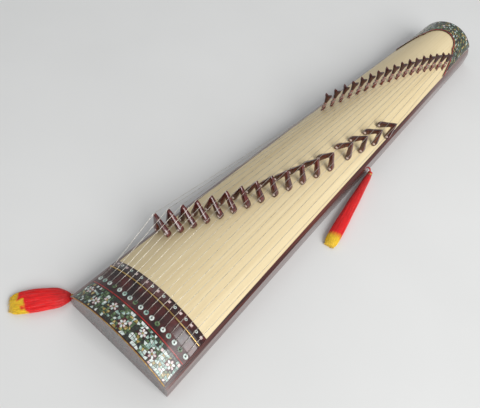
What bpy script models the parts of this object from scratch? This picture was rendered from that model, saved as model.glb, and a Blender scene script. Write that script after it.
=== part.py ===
"""Dan tranh: a seventeen-string plucked zither with an arched soundboard.

Units are metres, +Z is up and +X runs from the head to the tail. The origin is
on the ground under the middle of the body. Places along the body are called
run: the distance from the head's outer edge, so run 0 is the head end.
"""
from math import asin, cos, pi, radians, sin, sqrt

import bmesh
import bpy
from mathutils import Matrix, Vector

# Body
LENGTH = 1.100
HEAD_WIDTH = 0.210
TAIL_WIDTH = 0.130
HEAD_ARCH = 0.040
MIDDLE_ARCH = 0.034
TAIL_ARCH = 0.052
HEAD_SIDE = 0.030
MIDDLE_SIDE = 0.039
TAIL_SIDE = 0.024
GAP = 0.0003
RAIL_THICKNESS = 0.006
BOARD_THICKNESS = 0.005
BOTTOM_THICKNESS = 0.004
BOARD_COLUMNS = 16
BOARD_STATION_SPACING = 0.110
RAIL_STATIONS = 13

# Braces and peg block under the soundboard
BRACE_RUNS = (0.300, 0.560, LENGTH - 0.110)
BRACE_WIDTH = 0.008
BRACE_DEPTH = 0.012
BRACE_END_SHARE = 0.12
PEG_BLOCK_HALF_WIDTH = 0.008
PEG_BLOCK_DEPTH = 0.010
PEG_BLOCK_OVERHANG = 0.009
PEG_BLOCK_BITE = 0.0025
PEG_BLOCK_STATIONS = 10

# Head: panel, slope with the string holes, ridge and rod
HEAD_LENGTH = 0.091
HEAD_PANEL_THICKNESS = 0.008
END_WALL = 0.008
WALL_TOP_SHARE = 0.75
WALL_FOOT_SHARE = 1.5
SLOPE_START = 0.056
RIDGE_START = 0.0705
RIDGE_END = 0.078
RIDGE_RISE = 0.0035
ROD_RUN = 0.0742
ROD_RADIUS = 0.0011
ROD_SINK = 0.0009
GROOVE_FLARE = 0.0003

# Strings
STRING_COUNT = 17
STRING_DIAMETER = 0.0007
STRING_HOLE_RUN = 0.050
STRING_HOLE_RADIUS = 0.0012
STRING_HOLE_SIDES = 8
STRING_HOLE_DEPTH = 0.020
STRING_MARGIN = 0.013
STRING_SPACING = (HEAD_WIDTH - 2 * STRING_MARGIN) / (STRING_COUNT - 1)
STRING_TAIL = 0.014
STRING_LIFT = 0.0010

# Movable bridges
BRIDGE_FIRST_REACH = 0.098
BRIDGE_FIRST_STEP = 0.0183
BRIDGE_STEP_GROWTH = 1.06
BASS_START = 13
BASS_GAP = 0.014
BRIDGE_INSET = 0.90
BRIDGE_HEIGHT = 0.043
BRIDGE_FOOT_SPREAD = 0.0158
BRIDGE_FOOT_DEPTH = 0.0096
BRIDGE_TOP_DEPTH = 0.0052
BRIDGE_TIP_SHARE = 0.5
BRIDGE_TAPER_START = 0.1
BRIDGE_EDGE_INSET = 0.0007

# Tuning pegs
FIRST_PEG_RUN = LENGTH - 0.483
LAST_PEG_RUN = LENGTH - 0.152
FIRST_PEG_Y = 0.063
LAST_PEG_Y = -0.053
PEG_LEAN = radians(4)
PEG_SHAFT_RADIUS = 0.0032
PEG_WAIST_RADIUS = 0.0030
PEG_BULB_RADIUS = 0.0042
PEG_HEIGHT = 0.045
PEG_BELOW = 0.019
PEG_HOLE_BELOW = 0.030
PEG_HOLE_ABOVE = 0.015
PEG_HEAD_HALF_WIDTH = 0.0070
PEG_HEAD_HALF_DEPTH = 0.0024
PEG_NOTCH = 0.0045
PEG_TURN = radians(106)
PEG_TURN_SPREAD = radians(12)
PEG_SIDES = 10
WINDING_TURNS = 2.5
WINDING_POINTS = 8
WINDING_PITCH = 0.0012
WINDING_TOP = 0.0195

# Tail cap: a plate with a bracket-shaped inner edge, and the end wall
CAP_THICKNESS = 0.0020
CAP_CENTRE_REACH = 0.045
CAP_CUSP_REACH = 0.079
CAP_ARM_REACH = 0.160
CAP_CUSP_SHARE = 0.54
CAP_ARM_CURVE = 1.5

# Openings in the bottom board
MOON_RUN = 0.040
MOON_HALF_WIDTH = 0.045
MOON_DEPTH = 0.038
GRIP_RUN = 0.470
GRIP_LENGTH = 0.100
GRIP_WIDTH = 0.044
GRIP_CORNER = 0.008
HANG_RUN = LENGTH - 0.055
HANG_RADIUS = 0.013
HANG_SIDES = 20

# Tassels, lying on the ground beside the body, each on a short cord
TASSEL_CORD_RADIUS = 0.0014
TASSEL_CORD_HEIGHT = 0.0100
TASSEL_SIDES = 12
CORD_HOLE_SIDES = 10
TASSEL_REST = 0.0005
LEFT_TASSEL_RUN = 0.014
RIGHT_TASSEL_RUN = 0.5955

LACQUER = (0.070, 0.014, 0.014)
ROSEWOOD = (0.110, 0.026, 0.022)
PALE_WOOD = (0.760, 0.600, 0.360)
PLAIN_WOOD = (0.420, 0.280, 0.160)
BRASS = (0.720, 0.520, 0.250)
STEEL = (0.620, 0.600, 0.560)
RED_SILK = (0.700, 0.020, 0.015)


def clear_scene():
    for old in list(bpy.data.objects):
        bpy.data.objects.remove(old, do_unlink=True)


def make_material(name, colour, roughness, metallic=0.0):
    material = bpy.data.materials.new(name)
    material.use_nodes = True
    shader = material.node_tree.nodes["Principled BSDF"]
    shader.inputs["Base Color"].default_value = (*colour, 1.0)
    shader.inputs["Roughness"].default_value = roughness
    shader.inputs["Metallic"].default_value = metallic
    material.diffuse_color = (*colour, 1.0)
    return material


# Form of the body

def along(head, middle, tail, run):
    """Smooth value along the body, given at its head, middle and tail."""
    t = run / LENGTH
    return head * (1 - t) * (1 - 2 * t) + middle * 4 * t * (1 - t) + tail * t * (2 * t - 1)


def half_width(run):
    return (HEAD_WIDTH + (TAIL_WIDTH - HEAD_WIDTH) * run / LENGTH) / 2


def inner_half_width(run):
    """Half the clear width between the side rails, less the joint gap."""
    return half_width(run) - RAIL_THICKNESS - GAP


def arc(run):
    """Radius and centre height of the arched top at one run."""
    width = half_width(run)
    rise = along(HEAD_ARCH, MIDDLE_ARCH, TAIL_ARCH, run)
    radius = (width * width + rise * rise) / (2 * rise)
    centre = along(HEAD_SIDE, MIDDLE_SIDE, TAIL_SIDE, run) + rise - radius
    return radius, centre


def top_height(run, y, offset=0.0):
    """Height of the arched surface, moved outward along its radius by offset."""
    radius, centre = arc(run)
    return centre + sqrt((radius + offset) ** 2 - y * y)


def place(run, y, z):
    return Vector((run - LENGTH / 2, y, z))


def on_top(run, y, offset=0.0):
    return place(run, y, top_height(run, y, offset))


def top_frame(run, y, slant=0.0):
    """Forward, sideways and normal directions of the surface. slant is dy per run."""
    step = 0.0005
    forward = on_top(run + step, y + slant * step) - on_top(run - step, y - slant * step)
    sideways = on_top(run, y + step) - on_top(run, y - step)
    normal = forward.cross(sideways).normalized()
    forward.normalize()
    return forward, normal.cross(forward), normal


def arch_row(run, shares, offset=0.0):
    """Points across the arched top at one run, at shares -1 to 1 of its half angle."""
    radius = arc(run)[0]
    half_angle = asin(inner_half_width(run) / radius)
    row = []
    for share in shares:
        y = radius * sin(share * half_angle)
        row.append(on_top(run, y, offset))
    return row


def even_shares(count):
    return [2 * index / count - 1 for index in range(count + 1)]


# Mesh helpers

def mesh_object(name, points, faces, material):
    mesh = bpy.data.meshes.new(name)
    work = bmesh.new()
    corners = [work.verts.new(point) for point in points]
    for face in faces:
        work.faces.new([corners[index] for index in face])
    bmesh.ops.recalc_face_normals(work, faces=work.faces[:])
    work.to_mesh(mesh)
    work.free()
    item = bpy.data.objects.new(name, mesh)
    bpy.context.collection.objects.link(item)
    if material is not None:
        mesh.materials.append(material)
    return item


def slab(name, top, bottom, material):
    """Closed solid between two grids of points with as many rows and columns."""
    rows = len(top)
    columns = len(top[0])
    points = [point for row in top for point in row]
    points += [point for row in bottom for point in row]
    below = rows * columns
    faces = []
    for row in range(rows - 1):
        for column in range(columns - 1):
            first = row * columns + column
            quad = (first, first + 1, first + columns + 1, first + columns)
            faces.append(quad)
            faces.append(tuple(below + index for index in reversed(quad)))
    for row in range(rows - 1):
        for column in (0, columns - 1):
            first = row * columns + column
            second = first + columns
            faces.append((first, second, below + second, below + first))
    for column in range(columns - 1):
        for row in (0, rows - 1):
            first = row * columns + column
            faces.append((first, first + 1, below + first + 1, below + first))
    return mesh_object(name, points, faces, material)


def loft(name, rings, material, cap_pairs=False):
    """Closed solid through rings of as many points. cap_pairs joins the last
    ring's points across its thickness, which lets that end be notched."""
    sides = len(rings[0])
    points = [point for ring in rings for point in ring]
    faces = []
    for level in range(len(rings) - 1):
        for side in range(sides):
            after = (side + 1) % sides
            low = level * sides
            high = low + sides
            faces.append((low + side, low + after, high + after, high + side))
    faces.append(tuple(range(sides)))
    last = (len(rings) - 1) * sides
    if not cap_pairs:
        faces.append(tuple(last + side for side in range(sides)))
        return mesh_object(name, points, faces, material)
    for side in range(sides // 2):
        opposite = sides - side
        quad = [side, side + 1, opposite - 1, opposite % sides]
        corners = list(dict.fromkeys(last + index for index in quad))
        faces.append(tuple(corners))
    return mesh_object(name, points, faces, material)


def prism(name, outline, low, high):
    """Cutter with an outline in plan, from one height to another."""
    count = len(outline)
    points = [place(run, y, low) for run, y in outline]
    points += [place(run, y, high) for run, y in outline]
    faces = [tuple(range(count)), tuple(range(count, 2 * count))]
    for index in range(count):
        after = (index + 1) % count
        faces.append((index, after, count + after, count + index))
    return mesh_object(name, points, faces, None)


def rods(name, ends, radius, sides):
    """One cutter of straight round rods, given by their two ends."""
    points = []
    faces = []
    for low, high in ends:
        axis = (high - low).normalized()
        across = axis.orthogonal().normalized()
        other = axis.cross(across)
        start = len(points)
        for centre in (low, high):
            for side in range(sides):
                angle = 2 * pi * side / sides
                points.append(centre + radius * (across * cos(angle) + other * sin(angle)))
        faces.append(tuple(range(start, start + sides)))
        faces.append(tuple(range(start + sides, start + 2 * sides)))
        for side in range(sides):
            after = (side + 1) % sides
            faces.append((start + side, start + after, start + sides + after, start + sides + side))
    return mesh_object(name, points, faces, None)


def combine(item, tool, operation):
    """Boolean of an item with a hidden tool object."""
    tool.hide_render = True
    tool.display_type = "WIRE"
    modifier = item.modifiers.new(tool.name, "BOOLEAN")
    modifier.operation = operation
    modifier.solver = "EXACT"
    modifier.object = tool


def tube(name, points, radius, resolution, material):
    curve = bpy.data.curves.new(name, "CURVE")
    curve.dimensions = "3D"
    curve.bevel_depth = radius
    curve.bevel_resolution = resolution
    curve.use_fill_caps = True
    spline = curve.splines.new("POLY")
    spline.points.add(len(points) - 1)
    for target, point in zip(spline.points, points):
        target.co = (*point, 1.0)
    curve.materials.append(material)
    item = bpy.data.objects.new(name, curve)
    bpy.context.collection.objects.link(item)
    return item


def smooth(item, angle=radians(35)):
    item.data.shade_smooth()
    item.data.set_sharp_from_angle(angle=angle)


# Layout of the strings, bridges and pegs

def hole_y(index):
    return STRING_SPACING * ((STRING_COUNT - 1) / 2 - index)


def peg_place(index):
    share = index / (STRING_COUNT - 1)
    run = FIRST_PEG_RUN + (LAST_PEG_RUN - FIRST_PEG_RUN) * share
    return run, FIRST_PEG_Y + (LAST_PEG_Y - FIRST_PEG_Y) * share


def bridge_run(index):
    """Bridges stand ever further apart towards the bass."""
    grown = (BRIDGE_STEP_GROWTH ** index - 1) / (BRIDGE_STEP_GROWTH - 1)
    reach = BRIDGE_FIRST_REACH + BRIDGE_FIRST_STEP * grown
    if index >= BASS_START:
        reach += BASS_GAP
    return ROD_RUN + reach


def string_slant(index):
    """Sideways drift of a string for each metre of run."""
    peg_run, peg_y = peg_place(index)
    return (peg_y - hole_y(index)) / (peg_run - STRING_HOLE_RUN)


def bridge_frame(index):
    """Matrix of a bridge: X along its string, Y across it, Z off the board. Its
    origin lies level with the foot tips, a joint gap above the board."""
    run = bridge_run(index)
    slant = string_slant(index) * BRIDGE_INSET
    y = (hole_y(index) + string_slant(index) * (run - STRING_HOLE_RUN)) * BRIDGE_INSET
    forward, sideways, normal = top_frame(run, y, slant)
    radius = arc(run)[0]
    drop = radius - sqrt(radius ** 2 - BRIDGE_FOOT_SPREAD ** 2)
    origin = on_top(run, y) + normal * (GAP - drop)
    axes = Matrix((forward, sideways, normal)).transposed()
    return Matrix.Translation(origin) @ axes.to_4x4()


def peg_frame(index):
    """Matrix of a peg: Z up its axis, origin where the axis leaves the board."""
    run, y = peg_place(index)
    return Matrix.Translation(on_top(run, y)) @ Matrix.Rotation(PEG_LEAN, 4, "X")


# Body pieces

def make_rail(name, side, cord_run, material):
    top = []
    bottom = []
    for station in range(RAIL_STATIONS):
        run = LENGTH * station / (RAIL_STATIONS - 1)
        outer = half_width(run)
        widths = (outer - RAIL_THICKNESS, outer - RAIL_THICKNESS / 2, outer)
        top.append([on_top(run, side * width) for width in widths])
        bottom.append([place(run, side * width, 0.0) for width in widths])
    rail = slab(name, top, bottom, material)
    reach = RAIL_THICKNESS
    middle = side * (half_width(cord_run) - RAIL_THICKNESS / 2)
    ends = (
        place(cord_run, middle - reach, TASSEL_CORD_HEIGHT),
        place(cord_run, middle + reach, TASSEL_CORD_HEIGHT),
    )
    hole = rods(name + "_cord_hole", [ends], TASSEL_CORD_RADIUS + GAP, CORD_HOLE_SIDES)
    combine(rail, hole, "DIFFERENCE")
    return rail


def board_rows(shares):
    """Rows of the soundboard: its top, and its underside with the braces on it."""
    start = HEAD_LENGTH + GAP
    end = LENGTH - END_WALL - GAP
    margin = BRACE_WIDTH / 4
    rows = [(start, start, 0.0)]
    for brace in BRACE_RUNS:
        near = brace - BRACE_WIDTH / 2
        far = brace + BRACE_WIDTH / 2
        rows.append((near - margin, near, 0.0))
        rows.append((near + margin, near, BRACE_DEPTH))
        rows.append((far - margin, far, BRACE_DEPTH))
        rows.append((far + margin, far, 0.0))
    rows.append((end, end, 0.0))
    filled = []
    for row, following in zip(rows, rows[1:]):
        filled.append(row)
        between = int((following[0] - row[0]) / BOARD_STATION_SPACING)
        for step in range(between):
            run = row[0] + (following[0] - row[0]) * (step + 1) / (between + 1)
            filled.append((run, run, 0.0))
    filled.append(rows[-1])
    top = []
    bottom = []
    for top_run, bottom_run, depth in filled:
        top.append(arch_row(top_run, shares))
        under = arch_row(bottom_run, shares)
        row = []
        for share, point in zip(shares, under):
            brace = depth * (1 - (1 - BRACE_END_SHARE) * share * share)
            height = top_height(bottom_run, point.y, -BOARD_THICKNESS) - brace
            row.append(Vector((point.x, point.y, height)))
        bottom.append(row)
    return top, bottom


def make_peg_block():
    """Strip under the peg row, which the pegs pass through."""
    first = peg_place(0)
    last = peg_place(STRING_COUNT - 1)
    length = sqrt((last[0] - first[0]) ** 2 + (last[1] - first[1]) ** 2)
    ahead = ((last[0] - first[0]) / length, (last[1] - first[1]) / length)
    aside = (-ahead[1], ahead[0])
    top = []
    bottom = []
    for step in range(PEG_BLOCK_STATIONS + 1):
        reach = -PEG_BLOCK_OVERHANG + (length + 2 * PEG_BLOCK_OVERHANG) * step / PEG_BLOCK_STATIONS
        top_line = []
        bottom_line = []
        for shift in (-PEG_BLOCK_HALF_WIDTH, 0.0, PEG_BLOCK_HALF_WIDTH):
            run = first[0] + ahead[0] * reach + aside[0] * shift
            limit = inner_half_width(run) - GAP
            y = first[1] + ahead[1] * reach + aside[1] * shift
            y = max(-limit, min(limit, y))
            surface = top_height(run, y)
            under = top_height(run, y, -BOARD_THICKNESS)
            top_line.append(place(run, y, surface - PEG_BLOCK_BITE))
            bottom_line.append(place(run, y, under - PEG_BLOCK_DEPTH))
        top.append(top_line)
        bottom.append(bottom_line)
    return slab("peg_block_form", top, bottom, None)


def make_soundboard(material):
    top, bottom = board_rows(even_shares(BOARD_COLUMNS))
    board = slab("soundboard", top, bottom, material)
    combine(board, make_peg_block(), "UNION")
    ends = []
    for index in range(STRING_COUNT):
        frame = peg_frame(index)
        low = frame @ Vector((0, 0, -PEG_HOLE_BELOW))
        ends.append((low, frame @ Vector((0, 0, PEG_HOLE_ABOVE))))
    holes = rods("peg_holes", ends, PEG_SHAFT_RADIUS + GAP, PEG_SIDES)
    combine(board, holes, "DIFFERENCE")
    return board


def moon_outline():
    """Half-moon hand hole: straight towards the head, round towards the tail."""
    steps = 12
    outline = []
    for step in range(steps + 1):
        angle = pi * step / steps - pi / 2
        outline.append((MOON_RUN + MOON_DEPTH * cos(angle), MOON_HALF_WIDTH * sin(angle)))
    return outline


def grip_outline():
    """Rectangular carrying hole with rounded corners."""
    corner_steps = 3
    outline = []
    corners = ((1, 1, 0), (0, 1, 90), (0, -1, 180), (1, -1, 270))
    for far, side, turn in corners:
        run = GRIP_RUN + (GRIP_LENGTH - GRIP_CORNER if far else GRIP_CORNER)
        y = side * (GRIP_WIDTH / 2 - GRIP_CORNER)
        for step in range(corner_steps + 1):
            angle = radians(turn + 90 * step / corner_steps)
            outline.append((run + GRIP_CORNER * cos(angle), y + GRIP_CORNER * sin(angle)))
    return outline


def make_bottom_board(material):
    top = []
    bottom = []
    for run in (END_WALL + GAP, LENGTH - END_WALL - GAP):
        width = inner_half_width(run)
        top.append([place(run, side * width, BOTTOM_THICKNESS) for side in (-1, 1)])
        bottom.append([place(run, side * width, 0.0) for side in (-1, 1)])
    board = slab("bottom_board", top, bottom, material)
    low = -BOTTOM_THICKNESS
    high = 2 * BOTTOM_THICKNESS
    combine(board, prism("moon_hole", moon_outline(), low, high), "DIFFERENCE")
    combine(board, prism("grip_hole", grip_outline(), low, high), "DIFFERENCE")
    hang = (place(HANG_RUN, 0.0, low), place(HANG_RUN, 0.0, high))
    combine(board, rods("hang_hole", [hang], HANG_RADIUS, HANG_SIDES), "DIFFERENCE")
    return board


def head_rise(run):
    """Rise of the head's top over the plain arch: slope, ridge and band."""
    if run <= SLOPE_START:
        return 0.0
    if run < RIDGE_START:
        return RIDGE_RISE * (run - SLOPE_START) / (RIDGE_START - SLOPE_START)
    if run <= RIDGE_END:
        return RIDGE_RISE
    return RIDGE_RISE * (HEAD_LENGTH - run) / (HEAD_LENGTH - RIDGE_END)


def make_head_block(material):
    """Head panel, string slope, grooved ridge and band, with the end wall under it."""
    shares = even_shares(BOARD_COLUMNS)
    groove = ROD_RADIUS + GAP
    bed = RIDGE_RISE - ROD_SINK
    under = -HEAD_PANEL_THICKNESS
    rows = [
        (0.0, 0.0, 0.0, None),
        (END_WALL * WALL_TOP_SHARE, 0.0, END_WALL, None),
        (END_WALL * WALL_FOOT_SHARE, 0.0, END_WALL, under),
        (SLOPE_START, 0.0, SLOPE_START, under),
        (RIDGE_START, RIDGE_RISE, RIDGE_START, under),
        (ROD_RUN - groove - GROOVE_FLARE, RIDGE_RISE, ROD_RUN - groove - GROOVE_FLARE, under),
        (ROD_RUN - groove, bed, ROD_RUN - groove, under),
        (ROD_RUN + groove, bed, ROD_RUN + groove, under),
        (ROD_RUN + groove + GROOVE_FLARE, RIDGE_RISE, ROD_RUN + groove + GROOVE_FLARE, under),
        (RIDGE_END, RIDGE_RISE, RIDGE_END, under),
        (HEAD_LENGTH, 0.0, HEAD_LENGTH, under),
    ]
    top = []
    bottom = []
    for top_run, rise, bottom_run, offset in rows:
        top.append(arch_row(top_run, shares, rise))
        line = arch_row(bottom_run, shares)
        if offset is None:
            bottom.append([Vector((point.x, point.y, 0.0)) for point in line])
        else:
            heights = [top_height(bottom_run, point.y, offset) for point in line]
            bottom.append([Vector((p.x, p.y, height)) for p, height in zip(line, heights)])
    head = slab("head_block", top, bottom, material)
    ends = []
    for index in range(STRING_COUNT):
        surface = on_top(STRING_HOLE_RUN, hole_y(index))
        depth = Vector((0, 0, STRING_HOLE_DEPTH))
        ends.append((surface - depth, surface + depth / 4))
    holes = rods("string_holes", ends, STRING_HOLE_RADIUS, STRING_HOLE_SIDES)
    combine(head, holes, "DIFFERENCE")
    return head


def rod_offset():
    """Height of the rod's centre over the plain arch."""
    return RIDGE_RISE - ROD_SINK + GAP + ROD_RADIUS


def make_nut_rod(material):
    points = arch_row(ROD_RUN, even_shares(BOARD_COLUMNS), rod_offset())
    return tube("nut_rod", points, ROD_RADIUS, 2, material)


def cap_reach(share):
    """How far the tail cap's inner edge lies from the tail end."""
    share = abs(share)
    if share <= CAP_CUSP_SHARE:
        arch = 1 - sqrt(1 - (share / CAP_CUSP_SHARE) ** 2)
        return CAP_CENTRE_REACH + (CAP_CUSP_REACH - CAP_CENTRE_REACH) * arch
    arm = (share - CAP_CUSP_SHARE) / (1 - CAP_CUSP_SHARE)
    return CAP_CUSP_REACH + (CAP_ARM_REACH - CAP_CUSP_REACH) * arm ** CAP_ARM_CURVE


def cap_shares():
    """Columns of the cap, dense round its middle arch and its two cusps."""
    inner = [CAP_CUSP_SHARE * sin(pi / 2 * step / 6) for step in range(7)]
    outer = [CAP_CUSP_SHARE + (1 - CAP_CUSP_SHARE) * step / 5 for step in range(1, 6)]
    half = inner + outer
    return [-share for share in reversed(half[1:])] + half


def cap_point(share, run, offset):
    radius = arc(run)[0]
    half_angle = asin(inner_half_width(run) / radius)
    return on_top(run, radius * sin(share * half_angle), offset)


def make_tail_cap(material):
    """Plate over the tail of the soundboard, with the end wall under it."""
    shares = cap_shares()
    wall_run = LENGTH - END_WALL
    top = []
    bottom = []
    for part in (0, 1 / 3, 2 / 3, 1):
        top_line = []
        bottom_line = []
        for share in shares:
            start = LENGTH - cap_reach(share)
            top_run = start + (wall_run - END_WALL / 2 - start) * part
            bottom_run = start + (wall_run - start) * part
            top_line.append(cap_point(share, top_run, GAP + CAP_THICKNESS))
            bottom_line.append(cap_point(share, bottom_run, GAP))
        top.append(top_line)
        bottom.append(bottom_line)
    for top_run, bottom_run in ((wall_run, wall_run), (LENGTH, LENGTH)):
        top.append([cap_point(share, top_run, GAP + CAP_THICKNESS) for share in shares])
        line = [cap_point(share, bottom_run, 0.0) for share in shares]
        bottom.append([Vector((point.x, point.y, 0.0)) for point in line])
    return slab("tail_cap", top, bottom, material)


# Bridges, pegs and strings

# One leg of a bridge: outer and inner edge points as (out from the middle, up),
# from the top and the crotch down to the foot.
LEG_ROWS = (
    ((0.0000, 1.000), (0.0000, 0.640)),
    ((0.0040, 0.880), (0.0017, 0.560)),
    ((0.0076, 0.720), (0.0034, 0.450)),
    ((0.0118, 0.530), (0.0054, 0.340)),
    ((0.0162, 0.370), (0.0072, 0.230)),
    ((0.0192, 0.230), (0.0086, 0.150)),
    ((0.0196, 0.120), (0.0102, 0.085)),
    ((0.0180, 0.035), (0.0136, 0.024)),
)


def bridge_depth(up):
    """Half thickness of a bridge along its string, at a share of its height."""
    foot = BRIDGE_FOOT_DEPTH / 2
    share = min(1.0, max(0.0, (up - BRIDGE_TAPER_START) / (1 - BRIDGE_TAPER_START)))
    return foot + (BRIDGE_TOP_DEPTH / 2 - foot) * share


def bridge_mesh():
    """An inverted V whose legs swell towards their pointed feet. Three layers
    along the string, the outer two drawn in, round its edges."""
    tip = (BRIDGE_FOOT_SPREAD, 0.0)
    outer = [row[0] for row in LEG_ROWS]
    inner = [row[1] for row in LEG_ROWS]
    loop = outer + [tip] + inner[::-1]
    loop += [(-out, up) for out, up in (inner[1:] + [tip] + outer[:0:-1])]
    count = len(loop)
    layers = []
    for position, inset in ((-1, BRIDGE_EDGE_INSET), (0, 0.0), (1, BRIDGE_EDGE_INSET)):
        layer = []
        for index in range(count):
            before = loop[index - 1]
            after = loop[(index + 1) % count]
            out, up = loop[index]
            tangent = Vector((after[0] - before[0], (after[1] - before[1]) * BRIDGE_HEIGHT))
            tangent.normalize()
            # The loop runs clockwise seen from the head, so this points inward.
            inward = Vector((-tangent.y, tangent.x)) * -1
            y = out + inward.x * inset
            z = max(0.0, up * BRIDGE_HEIGHT + inward.y * inset)
            depth = bridge_depth(up)
            if (out, up) in (tip, (-tip[0], tip[1])):
                depth *= BRIDGE_TIP_SHARE
            layer.append(Vector((position * depth, y, z)))
        layers.append(layer)
    points = [point for layer in layers for point in layer]
    faces = []
    for low in (0, count):
        for index in range(count):
            after = (index + 1) % count
            faces.append((low + index, low + after, low + count + after, low + count + index))
    rows = len(LEG_ROWS)
    right_tip = rows
    left_tip = count - rows
    for base in (0, 2 * count):
        for row in range(rows - 1):
            right = (row, row + 1, 2 * rows - 1 - row, 2 * rows - row)
            faces.append(tuple(base + index for index in right))
        faces.append((base + rows - 1, base + right_tip, base + rows + 1))
        for row in range(rows - 1):
            outer_now = (count - row) % count
            inner_now = 2 * rows + row
            left = (outer_now, count - row - 1, inner_now + 1, inner_now)
            faces.append(tuple(base + index for index in left))
        faces.append((base + left_tip + 1, base + left_tip, base + left_tip - 1))
    return points, faces


def make_bridges(material):
    points, faces = bridge_mesh()
    shared = None
    for index in range(STRING_COUNT):
        name = f"bridge_{index + 1:02d}"
        if shared is None:
            bridge = mesh_object(name, points, faces, material)
            smooth(bridge)
            shared = bridge.data
        else:
            bridge = bpy.data.objects.new(name, shared)
            bpy.context.collection.objects.link(bridge)
        bridge.matrix_world = bridge_frame(index)


# A peg from its lower end up: height over the board, half width and half depth.
PEG_ROWS = (
    (-PEG_BELOW, 0.75 * PEG_SHAFT_RADIUS, 0.75 * PEG_SHAFT_RADIUS),
    (0.0050, PEG_SHAFT_RADIUS, PEG_SHAFT_RADIUS),
    (0.0080, PEG_BULB_RADIUS, PEG_BULB_RADIUS),
    (0.0110, PEG_BULB_RADIUS, PEG_BULB_RADIUS),
    (0.0145, PEG_WAIST_RADIUS, PEG_WAIST_RADIUS),
    (0.0215, PEG_WAIST_RADIUS, PEG_WAIST_RADIUS),
    (0.0270, 0.55 * PEG_HEAD_HALF_WIDTH, 1.15 * PEG_HEAD_HALF_DEPTH),
    (0.0340, 0.70 * PEG_HEAD_HALF_WIDTH, PEG_HEAD_HALF_DEPTH),
    (0.0390, 0.95 * PEG_HEAD_HALF_WIDTH, PEG_HEAD_HALF_DEPTH),
    (PEG_HEIGHT - PEG_NOTCH, PEG_HEAD_HALF_WIDTH, 0.80 * PEG_HEAD_HALF_DEPTH),
)


def peg_rings():
    rings = []
    for height, wide, deep in PEG_ROWS:
        ring = []
        for side in range(PEG_SIDES):
            angle = 2 * pi * side / PEG_SIDES
            ring.append(Vector((wide * cos(angle), deep * sin(angle), height)))
        rings.append(ring)
    # The flat head ends in two prongs: its rim climbs away from the middle.
    for point in rings[-1]:
        point.z += PEG_NOTCH * (abs(point.x) / PEG_HEAD_HALF_WIDTH) ** 0.8
    return rings


def make_pegs(material):
    rings = peg_rings()
    shared = None
    for index in range(STRING_COUNT):
        name = f"peg_{index + 1:02d}"
        if shared is None:
            peg = loft(name, rings, material, cap_pairs=True)
            smooth(peg)
            shared = peg.data
        else:
            peg = bpy.data.objects.new(name, shared)
            bpy.context.collection.objects.link(peg)
        turn = PEG_TURN + PEG_TURN_SPREAD * sin(2.4 * index)
        peg.matrix_world = peg_frame(index) @ Matrix.Rotation(turn, 4, "Z")


def winding_radius():
    """Path radius of a winding whose flats clear the peg's waist."""
    clear = PEG_WAIST_RADIUS + GAP + STRING_DIAMETER / 2
    return clear / cos(pi / WINDING_POINTS)


def winding(index):
    """Turns of one string round its peg, from where the string arrives."""
    frame = peg_frame(index)
    radius = winding_radius()
    steps = int(WINDING_TURNS * WINDING_POINTS)
    start = -pi / 2 + pi / WINDING_POINTS
    points = []
    for step in range(steps + 1):
        angle = start + 2 * pi * step / WINDING_POINTS
        height = WINDING_TOP - WINDING_PITCH * step / WINDING_POINTS
        points.append(frame @ Vector((radius * cos(angle), radius * sin(angle), height)))
    inward = radius - STRING_DIAMETER
    points.append(frame @ Vector((inward * cos(angle), inward * sin(angle), height)))
    return points


def string_path(index):
    """A string from under the head, over the rod and its bridge, to its peg."""
    y = hole_y(index)
    half = STRING_DIAMETER / 2
    surface = on_top(STRING_HOLE_RUN, y)
    path = [
        surface - Vector((0, 0, STRING_TAIL)),
        surface + Vector((0, 0, STRING_LIFT)),
    ]
    rod_y = y + string_slant(index) * (ROD_RUN - STRING_HOLE_RUN)
    path.append(on_top(ROD_RUN, rod_y, rod_offset() + ROD_RADIUS + GAP + half))
    top = BRIDGE_HEIGHT + GAP + half
    path.append(bridge_frame(index) @ Vector((0, 0, top)))
    return path + winding(index)


def least_self_gap(points, diameter):
    """Least clear distance between parts of a path that aren't neighbours."""
    dense = []
    for start, end in zip(points, points[1:]):
        dense += [start.lerp(end, step / 4) for step in range(4)]
    reach = 4 * WINDING_POINTS // 2
    least = 1.0
    for first in range(len(dense)):
        for second in range(first + reach, len(dense)):
            least = min(least, (dense[first] - dense[second]).length)
    return least - diameter


def make_strings(material):
    least = 1.0
    for index in range(STRING_COUNT):
        path = string_path(index)
        tube(f"string_{index + 1:02d}", path, STRING_DIAMETER / 2, 1, material)
        least = min(least, least_self_gap(winding(index), STRING_DIAMETER))
    print(f"string windings: least gap to themselves {least * 1000:.2f} mm")


# Tassels

# Along each tassel: place on the ground as (run, y), half width and half height.
LEFT_TASSEL = (
    (0.0105, 0.1120, 0.0050, 0.0050),
    (0.0070, 0.1150, 0.0045, 0.0045),
    (0.0020, 0.1190, 0.0100, 0.0065),
    (-0.0080, 0.1265, 0.0165, 0.0080),
    (-0.0220, 0.1375, 0.0190, 0.0085),
    (-0.0380, 0.1500, 0.0200, 0.0080),
    (-0.0520, 0.1610, 0.0195, 0.0065),
    (-0.0610, 0.1685, 0.0170, 0.0045),
    (-0.0655, 0.1720, 0.0120, 0.0030),
)
RIGHT_TASSEL = (
    (0.5900, -0.0915, 0.0050, 0.0050),
    (0.5840, -0.0930, 0.0045, 0.0045),
    (0.5760, -0.0945, 0.0058, 0.0055),
    (0.5500, -0.0992, 0.0072, 0.0065),
    (0.5150, -0.1056, 0.0090, 0.0075),
    (0.4800, -0.1120, 0.0104, 0.0080),
    (0.4450, -0.1185, 0.0116, 0.0080),
    (0.4120, -0.1247, 0.0124, 0.0070),
    (0.3930, -0.1283, 0.0118, 0.0055),
    (0.3850, -0.1298, 0.0085, 0.0035),
)


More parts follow.
